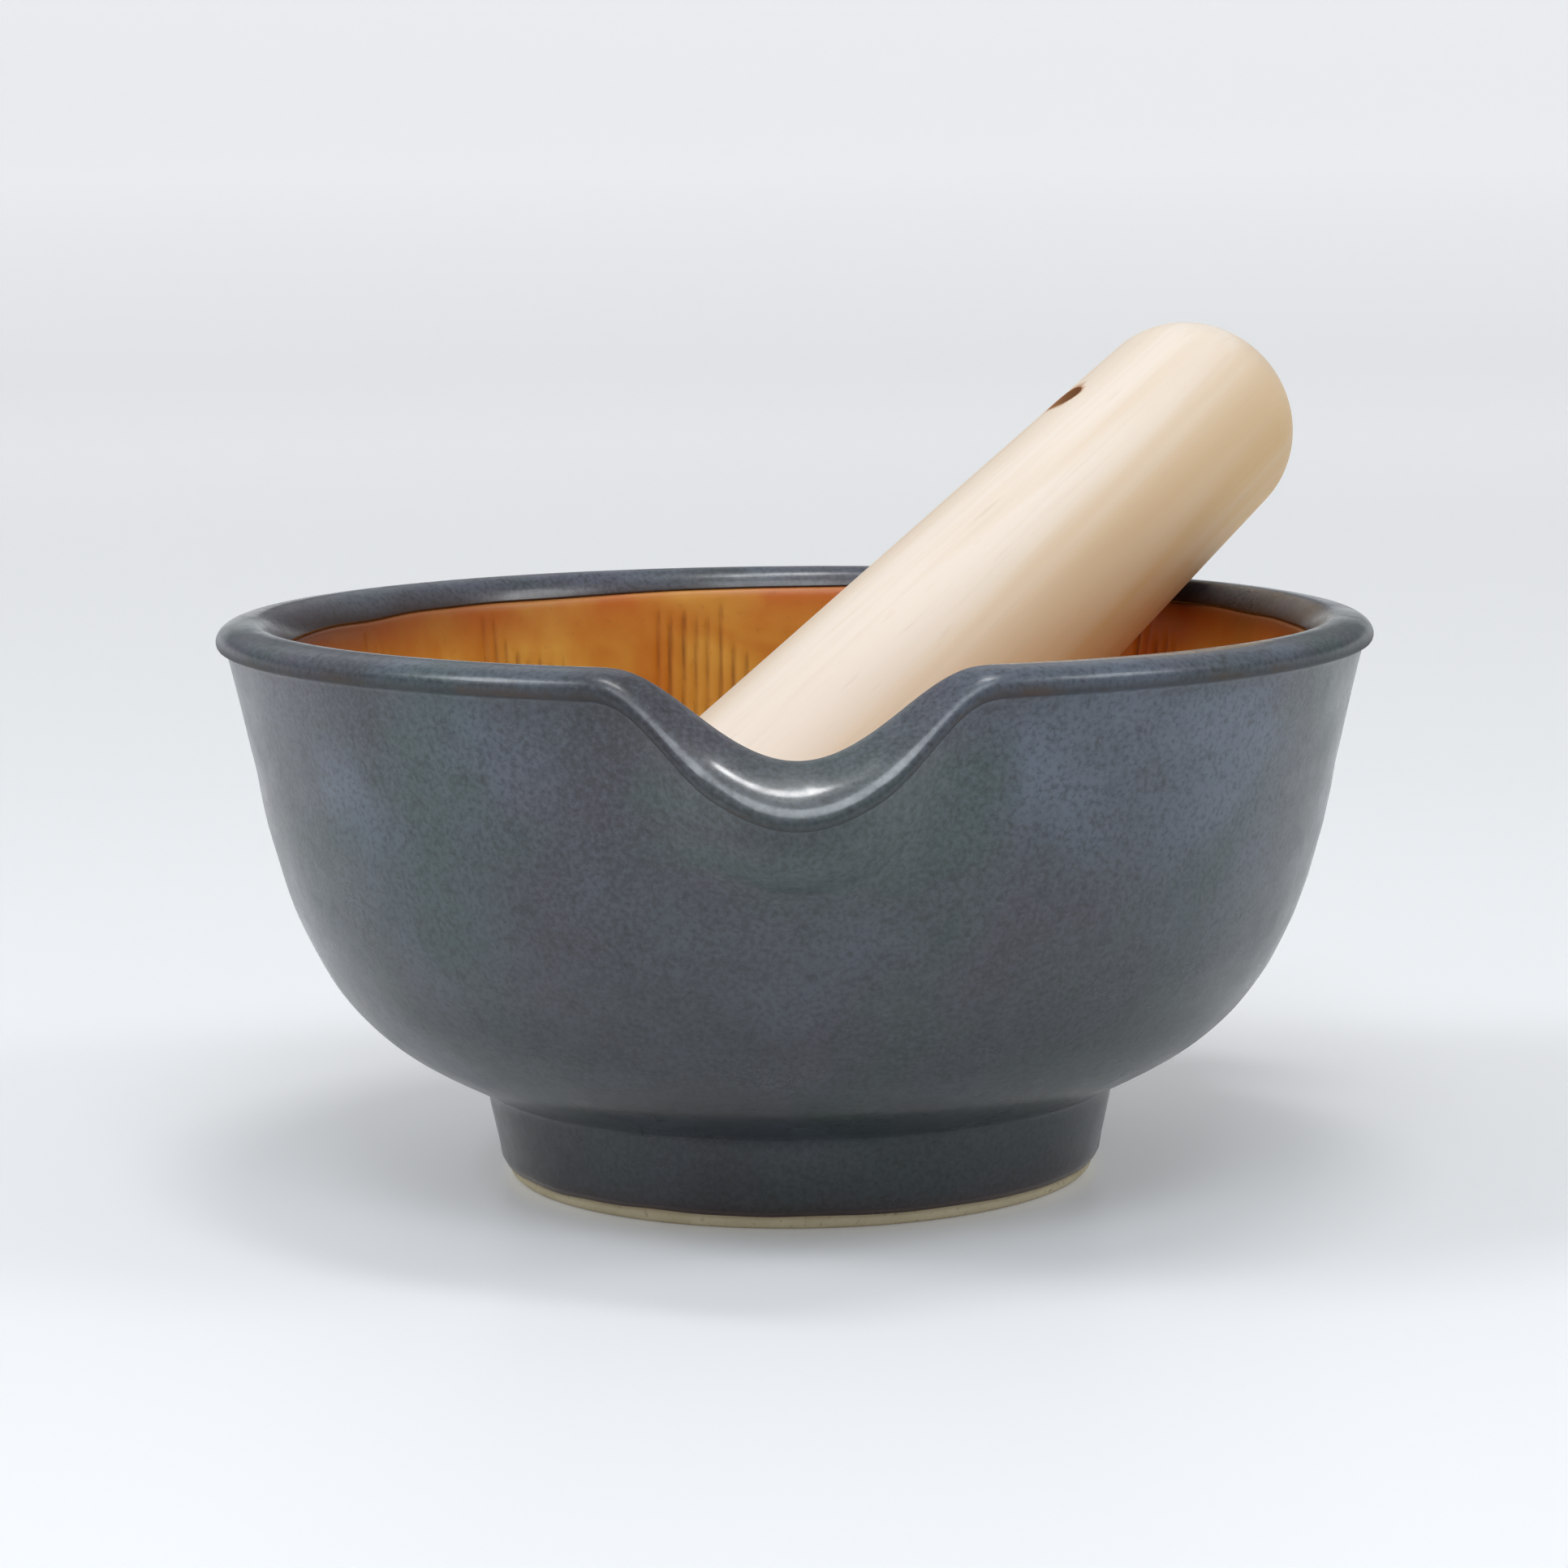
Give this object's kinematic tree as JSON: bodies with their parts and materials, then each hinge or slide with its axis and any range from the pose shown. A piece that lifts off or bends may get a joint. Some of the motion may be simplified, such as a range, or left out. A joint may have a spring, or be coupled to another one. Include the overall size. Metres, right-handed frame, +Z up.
{
  "type": "mortar and pestle",
  "caption": "Stoneware grinding bowl with combed inner wall, foot ring and pouring spout, and a round wooden pestle with a hanging hole leaning in it.",
  "frame": {"origin": "centre of the foot ring, on the surface it stands on", "axes": "+Z up along the bowl's axis; the pouring spout points along -Y; the pestle leans towards +X and +Y"},
  "size_m": [0.1498, 0.1558, 0.1086],
  "materials": {
    "bare_stoneware": "matte, fine grained",
    "dark_glaze": "satin, mottled blue-grey",
    "amber_glaze": "satin, combed",
    "pale_wood": "sanded, unfinished"
  },
  "bodies": {
    "mortar": {"stoneware_body": "bare_stoneware", "outer_glaze": "dark_glaze", "inner_glaze": "amber_glaze"},
    "wooden_pestle": {"pestle": "pale_wood"}
  },
  "joints": [
    {"name": "pestle_lift", "type": "slide", "parent": "mortar", "child": "wooden_pestle", "axis": [0, 0, 1], "range_m": [0, 0.09]}
  ]
}
